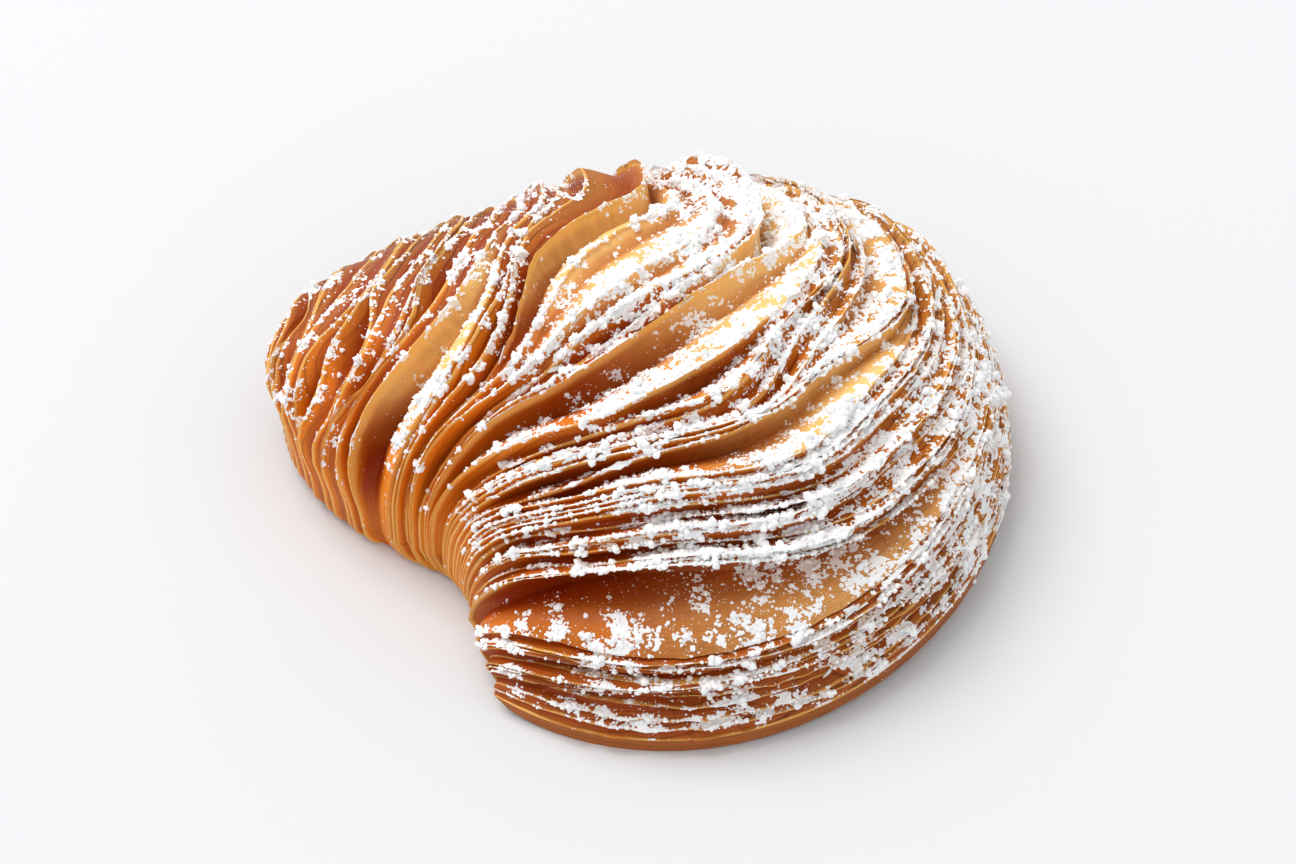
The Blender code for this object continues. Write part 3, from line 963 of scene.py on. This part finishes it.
    # A film of sugar, and the fine relief.
    normal = graph.value("ShaderNodeNewGeometry", {}, {}, "Normal")
    film = sugar_cover(graph, coordinates, normal, kept).ramped(-0.012, 0.008) * 0.98
    colour = graph.mixed(film, colour, WHITE)
    grain = graph.noise(coordinates, 900.0, detail=3.0)
    blister = graph.noise(coordinates, 260.0, detail=2.0)
    relief = grain * 0.3 + blister * 0.7 + streaks * 0.4 + film * 0.8
    relief = relief + (cell_tone * 0.8 - cracks_and_shade * 0.8) * broken
    relief = relief + strata * thin * 1.8 + shag * shaggy * 1.6
    inputs = {"Strength": 0.35, "Distance": 0.25 * MM, "Height": relief}
    inputs = {
        "Base Color": colour,
        "Roughness": 0.34 + patches * 0.2 + film * 0.4,
        "Normal": graph.value("ShaderNodeBump", {}, inputs),
        "Specular IOR Level": 0.18,
        "Subsurface Weight": 0.12,
        "Subsurface Radius": (1.0, 0.35, 0.1),
        "Subsurface Scale": 1.2 * MM,
    }
    add_shader(graph, inputs)
    return material


class SFOGLIATELLA_OT_leaves(bpy.types.Operator):
    """Fold the pastry's leaves over its body"""

    bl_idname = "sfogliatella.leaves"
    bl_label = "Fold leaves"

    def execute(self, context):
        settings = context.scene.sfogliatella_leaves
        leaves = bpy.data.objects.new("pastry_leaves", make_body_sheet("body_sheet"))
        context.scene.collection.objects.link(leaves)
        material = crust_material(context.scene.sfogliatella_crust)
        inputs = {**LEAF_COUNTS, **LEAF_SIZES}
        values = {name: getattr(settings, setting) for name, setting in inputs.items()}
        values.update({"Table": CAD_LOW.z, "Material": material})
        add_modifier(leaves, leaf_tree(), values)
        mesh = settle(leaves)
        if not mesh.polygons:
            raise RuntimeError("the leaves came out empty")
        mesh.set_sharp_from_angle(angle=SHARP_FROM)
        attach(leaves, "root")
        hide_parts(FOLDED_NODE)
        return {"FINISHED"}


# ---------------------------------------------------------------- torn flakes


def flake_mesh(graph, length):
    """A torn, curled shred of leaf of 28 faces, as a node output, lying along X."""
    settings = {"Size": (1.0, 0.3, 0.05), "Vertices X": 5, "Vertices Y": 2, "Vertices Z": 2}
    slab = graph.value("GeometryNodeMeshCube", {}, settings)
    x, y, z = graph.separated(graph.value("GeometryNodeInputPosition"))
    taper = 1.0 - (x * 2.0) ** 2.0 * 0.75
    torn = graph.pattern(x * 5.0, y * 3.0, 1.0, detail=0.0)
    curl = x * x * -0.35 + (torn - 0.5) * 0.2
    bent = graph.combined(x, (y + (torn - 0.5) * 0.3) * taper, z + curl * 0.5)
    shred = graph.value("GeometryNodeSetPosition", {}, {"Geometry": slab, "Position": bent})
    for name in ("hidden", "valley", "sink"):
        shred = stored(graph, shred, name, 0.0)
    shred = stored(graph, shred, "from_ridge", (y < 0.0) * (0.6 * MM))
    inputs = {"Geometry": shred, "Scale": graph.combined(length, length, length)}
    return graph.value("GeometryNodeTransform", {}, inputs)


def flake_tree(seed):
    """Geometry Nodes tree that lays torn flakes along the leaf edges."""
    sockets = {"Geometry": GEOMETRY, "Material": MATERIAL}
    sockets.update({name: NUMBER for name in ("Length", "Density", "Tilt")})
    graph, given, leave = new_node_group("scatter_flakes", sockets, {"Geometry": GEOMETRY})
    position = graph.value("GeometryNodeInputPosition")
    x, y, _ = graph.separated(position)
    up = graph.separated(graph.value("GeometryNodeInputNormal"))[2]
    broken = graph.noise(position, 160.0, detail=1.0).ramped(0.42, 0.6)
    region = (x / MM).ramped(-30.0, 10.0) * (y / MM).ramped(-45.0, -15.0) * up.ramped(0.0, 0.4)
    crest = 1.0 - named(graph, "hidden").ramped(0.2, 0.7)
    crest = crest * (named(graph, "opening") / MM).ramped(4.5, 2.5)
    amount = broken * region * crest * (1.0 - named(graph, "bare").clamped())
    points, normals = spread(graph, given["Geometry"], amount * given["Density"], seed)

    settings = {"axis": "Z"}
    upright = graph.value("FunctionNodeAlignRotationToVector", settings, {"Vector": normals})
    settings = {"axis": "X", "pivot_axis": "Z"}
    inputs = {"Rotation": upright, "Vector": named(graph, "run", "FLOAT_VECTOR")}
    along_edge = graph.value("FunctionNodeAlignRotationToVector", settings, inputs)
    most = graph.combined(given["Tilt"], given["Tilt"] * 0.4, given["Tilt"] * 0.5)
    tilt = graph.randomly(graph.scaled(most, -1.0), most, seed + 1)
    inputs = {"Rotation": along_edge, "Rotate By": tilt}
    turned = graph.value("FunctionNodeRotateRotation", {"rotation_space": "LOCAL"}, inputs)
    size = graph.randomly((0.4, 0.45, 0.7), (1.4, 1.2, 1.1), seed + 2)
    flakes = laid(graph, points, flake_mesh(graph, given["Length"]), turned, size)
    return finished(graph, leave, flakes, given["Material"])


class SFOGLIATELLA_OT_flakes(bpy.types.Operator):
    """Lay torn flakes along the leaf edges"""

    bl_idname = "sfogliatella.flakes"
    bl_label = "Lay flakes"

    def execute(self, context):
        settings = context.scene.sfogliatella_flakes
        values = {
            "Length": settings.length,
            "Density": settings.density,
            "Tilt": settings.tilt,
            "Material": bpy.data.objects["pastry_leaves"].data.materials[0],
        }
        flakes = strewn(context, "torn_flakes", flake_tree(seed=5), values)
        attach(flakes, "root")
        return {"FINISHED"}


# ---------------------------------------------------------------- icing sugar


class Strewing(NamedTuple):
    """How one kind of sugar lies on the leaves."""

    kind: str
    density: float  # most grains on each square metre
    threshold: float  # cover at which half of them lie
    softness: float  # how gradually they thin out
    seed: int


KINDS = (
    Strewing("clump", 0.32e6, 0.105, 0.02, 11),
    Strewing("crumb", 1.3e6, 0.04, 0.02, 17),
    Strewing("grain", 1.8e6, 0.01, 0.02, 23),
    Strewing("dust", 1.3e6, -0.10, 0.10, 37),
)


def sugar_cover(graph, position, normal, kept):
    """How much sugar lies at a place, 0 to about 1, for the grains and for the film alike."""
    x, y, z = (part / MM for part in graph.separated(position))
    up = graph.separated(normal)[2]

    # It falls in clouds and smaller lumps.
    coarse = graph.noise(position, 90.0, detail=1.0)
    medium = graph.noise(position, 380.0, detail=3.0, roughness=0.65)
    lumps = graph.noise(position, 250.0, detail=1.0)
    fine = graph.noise(position, 1300.0, detail=1.0)
    streaks = graph.pattern(kept("number") * 2.7, kept("turn") * 13.0, 4.0)
    front = y.ramped(-12.0, -30.0) * 0.55
    medium = medium + (lumps - medium) * front
    clouds = (coarse - 0.5) * 0.3 + (medium - 0.5) * 1.2
    clouds = clouds + (fine - 0.5) * (0.55 - front * 0.3) + (streaks - 0.5) * 0.25

    # More of it fell on the middle than on the tip and the near and far sides.
    middle = x.ramped(-42.0, 0.0) * 0.2 - x.ramped(22.0, 46.0) * 0.06
    middle = middle + y.ramped(-46.0, -20.0) * 0.09 - y.ramped(-5.0, 35.0) * 0.07
    corner = x.ramped(14.0, 30.0) * x.ramped(54.0, 42.0) * y.ramped(-5.0, 12.0) * 0.05
    ridge_y = x.ramped(12.0, 32.0) * 18.0 - 31.5  # a long heap follows the edge above the mouth
    heap = x.ramped(-8.0, 8.0) * x.ramped(46.0, 32.0) * (1.0 - x.ramped(14.0, 28.0) * 0.6)
    heap = heap * abs(y - ridge_y).ramped(11.0, 3.0) * z.ramped(24.0, 30.0) * 0.14
    for place in HEAPS:
        aside, ahead = x - place.x, y - place.y
        away = (aside * aside + ahead * ahead).math("SQRT")
        heap = heap + away.ramped(place.reach, place.reach * 0.3) * place.amount
    right = x.ramped(-10.0, 45.0)
    crest = (1.0 - kept("hidden").ramped(0.0, 0.55)) * (0.14 - right * 0.09)
    region = middle - corner + heap + crest - 0.224

    # It missed what lies deep, steep or near the table.
    sunk = (kept("sink") / MM).ramped(0.3, 2.6)
    steep = 1.0 - up.ramped(-0.05, 0.42)
    ground = 1.0 - z.ramped(2.0, 5.0)
    missed = (sunk * 0.10 + kept("valley") * 0.07) * (1.0 - right * 0.4)
    missed = missed + kept("bare") * 0.2 + steep * 0.25 + ground * 0.4
    return clouds + region - missed


def grain_mesh(graph, kind, width):
    """One lump of sugar, as a node output: dust has 8 faces, a clump 60 and the rest 20."""
    if kind == "dust":
        sizes = {"Segments": 4, "Rings": 2, "Radius": width / 2.0}
        return graph.value("GeometryNodeMeshUVSphere", {}, sizes)
    sizes = {"Radius": width / 2.0, "Subdivisions": 1}
    ball = graph.value("GeometryNodeMeshIcoSphere", {}, sizes)
    where = graph.value("GeometryNodeInputPosition")
    dents = graph.noise(graph.scaled(where, 1.0 / width), 2.3, detail=0.0)
    lumpy = graph.scaled(where, 0.6 + dents * 0.8)
    lump = graph.value("GeometryNodeSetPosition", {}, {"Geometry": ball, "Position": lumpy})
    if kind != "clump":
        return lump
    parts = graph.make("GeometryNodeJoinGeometry")
    for x, y, size in ((-0.24, -0.08, 0.72), (0.2, -0.2, 0.6), (0.12, 0.26, 0.66)):
        inputs = {"Geometry": lump, "Translation": graph.scaled((x, y, 0.0), width)}
        inputs.update({"Rotation": (x * 7.0, y * 9.0, size * 5.0), "Scale": (size, size, size)})
        part = graph.make("GeometryNodeTransform", {}, inputs)
        graph.tree.links.new(part.outputs[0], parts.inputs[0])
    return Value(graph, parts.outputs[0])


def sugar_tree(kind, seed):
    """Geometry Nodes tree that scatters one kind of sugar over the folds it is given."""
    sockets = {"Geometry": GEOMETRY, "Material": MATERIAL}
    sockets.update({name: NUMBER for name in ("Width", "Density", "Threshold", "Softness")})
    graph, given, leave = new_node_group("scatter_" + kind, sockets, {"Geometry": GEOMETRY})
    position = graph.value("GeometryNodeInputPosition")
    normal = graph.value("GeometryNodeInputNormal")
    cover = sugar_cover(graph, position, normal, lambda layer: named(graph, layer))
    threshold, softness = given["Threshold"], given["Softness"]
    amount = cover.ramped(threshold - softness, threshold + softness)
    points, _ = spread(graph, given["Geometry"], amount * given["Density"], seed)
    turned = graph.randomly((0.0, 0.0, 0.0), (math.tau, math.tau, math.tau), seed + 1)
    sizes = graph.make("FunctionNodeRandomValue", {"data_type": "FLOAT"}, {"Seed": seed + 2})
    graph.plug(sizes.inputs[2], 0.45)  # the least of the float inputs, and then the most
    graph.plug(sizes.inputs[3], 1.3)
    size = Value(graph, sizes.outputs[1])
    grain = grain_mesh(graph, kind, given["Width"])
    sugar = laid(graph, points, grain, turned, graph.combined(size, size, size))
    return finished(graph, leave, sugar, given["Material"])


def sugar_material():
    """Matte white powder."""
    material, graph = new_material("icing_sugar")
    coordinates = graph.value("ShaderNodeTexCoord", {}, {}, "Object")
    powder = graph.noise(coordinates, 2500.0, detail=2.0)
    inputs = {"Strength": 0.4, "Distance": 0.08 * MM, "Height": powder}
    bump = graph.value("ShaderNodeBump", {}, inputs)
    inputs = {
        "Base Color": graph.mixed(powder, (0.95, 0.948, 0.945, 1.0), (0.99, 0.99, 0.99, 1.0)),
        "Roughness": 0.9 + powder * 0.1,
        "Normal": bump,
        "Specular IOR Level": 0.2,
    }
    add_shader(graph, inputs)
    return material


class SFOGLIATELLA_OT_sugar(bpy.types.Operator):
    """Dust the leaves with icing sugar"""

    bl_idname = "sfogliatella.sugar"
    bl_label = "Dust with sugar"

    def execute(self, context):
        settings = context.scene.sfogliatella_sugar
        material = sugar_material()
        for kind, density, threshold, softness, seed in KINDS:
            values = {
                "Width": getattr(settings, kind),
                "Density": density,
                "Threshold": threshold - 0.1 * (settings.cover - 0.5),
                "Softness": softness,
                "Material": material,
            }
            tree = sugar_tree(kind, seed)
            sugar = strewn(context, "sugar_" + kind + "s", tree, values)
            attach(sugar, "root")
        return {"FINISHED"}


# ---------------------------------------------------------------- stage


class SFOGLIATELLA_OT_stage(bpy.types.Operator):
    """Set the table, the light and the camera"""

    bl_idname = "sfogliatella.stage"
    bl_label = "Set stage"

    def execute(self, context):
        settings = context.scene.sfogliatella_stage
        scene = context.scene
        foot = Vector(((CAD_LOW.x + CAD_HIGH.x) / 2, (CAD_LOW.y + CAD_HIGH.y) / 2, CAD_LOW.z))

        bpy.ops.mesh.primitive_plane_add(size=6.0, location=foot)
        floor = context.object
        floor.name = "table"
        material = bpy.data.materials.new("white_table")
        material.use_nodes = True
        shader = material.node_tree.nodes["Principled BSDF"]
        shader.inputs["Base Color"].default_value = tuple(settings.floor)
        shader.inputs["Roughness"].default_value = 0.9
        shader.inputs["Specular IOR Level"].default_value = 0.1
        floor.data.materials.append(material)

        world = bpy.data.worlds.new("white_room")
        world.use_nodes = True
        backdrop = world.node_tree.nodes["Background"]
        backdrop.inputs["Color"].default_value = (0.97, 0.985, 1.0, 1.0)
        backdrop.inputs["Strength"].default_value = 0.78
        scene.world = world

        data = bpy.data.lights.new("window_light", "AREA")
        data.shape = "DISK"
        data.size = 1.6
        data.energy = 36.0
        light = bpy.data.objects.new("window_light", data)
        offset = Vector((-0.45, 0.36, 1.0)).normalized() * 2.4
        light.location = (CAD_LOW + CAD_HIGH) / 2 + offset
        light.rotation_euler = offset.to_track_quat("Z", "Y").to_euler()
        scene.collection.objects.link(light)

        data = bpy.data.cameras.new("camera")
        data.lens = settings.focal
        data.sensor_width = 36.0
        data.shift_y = VIEW_SHIFT
        camera = bpy.data.objects.new("camera", data)
        back = Vector((0.0, -math.cos(settings.elevation), math.sin(settings.elevation)))
        camera.location = foot + Vector(AIM) * MM + back * settings.distance
        camera.rotation_euler = back.to_track_quat("Z", "Y").to_euler()
        scene.collection.objects.link(camera)
        scene.camera = camera
        scene.view_settings.view_transform = "Standard"
        return {"FINISHED"}


# ---------------------------------------------------------------- panel and run


class SFOGLIATELLA_PT_panel(bpy.types.Panel):
    """Lists the sizes and the steps"""

    bl_label = "Sfogliatella"
    bl_idname = "SFOGLIATELLA_PT_panel"
    bl_space_type = "VIEW_3D"
    bl_region_type = "UI"
    bl_category = "Sfogliatella"

    def draw(self, context):
        steps = (
            (context.scene.sfogliatella_leaves, SFOGLIATELLA_OT_leaves),
            (context.scene.sfogliatella_flakes, SFOGLIATELLA_OT_flakes),
            (context.scene.sfogliatella_crust, None),
            (context.scene.sfogliatella_sugar, SFOGLIATELLA_OT_sugar),
            (context.scene.sfogliatella_stage, SFOGLIATELLA_OT_stage),
        )
        for settings, operator in steps:
            box = self.layout.box()
            for name in settings.__annotations__:
                box.prop(settings, name)
            if operator:
                box.operator(operator.bl_idname)


GROUPS = {
    "sfogliatella_leaves": LeafSettings,
    "sfogliatella_flakes": FlakeSettings,
    "sfogliatella_crust": CrustSettings,
    "sfogliatella_sugar": SugarSettings,
    "sfogliatella_stage": StageSettings,
}
OPERATORS = (
    SFOGLIATELLA_OT_leaves,
    SFOGLIATELLA_OT_flakes,
    SFOGLIATELLA_OT_sugar,
    SFOGLIATELLA_OT_stage,
)


def register():
    for cls in (*GROUPS.values(), *OPERATORS, SFOGLIATELLA_PT_panel):
        bpy.utils.register_class(cls)
    for name, group in GROUPS.items():
        setattr(bpy.types.Scene, name, bpy.props.PointerProperty(type=group))


def unregister():
    for name in GROUPS:
        delattr(bpy.types.Scene, name)
    for cls in (SFOGLIATELLA_PT_panel, *reversed(OPERATORS), *reversed(GROUPS.values())):
        bpy.utils.unregister_class(cls)


def main():
    register()
    bpy.ops.sfogliatella.leaves()
    bpy.ops.sfogliatella.flakes()
    bpy.ops.sfogliatella.sugar()
    bpy.ops.sfogliatella.stage()


if __name__ == "__main__":
    main()
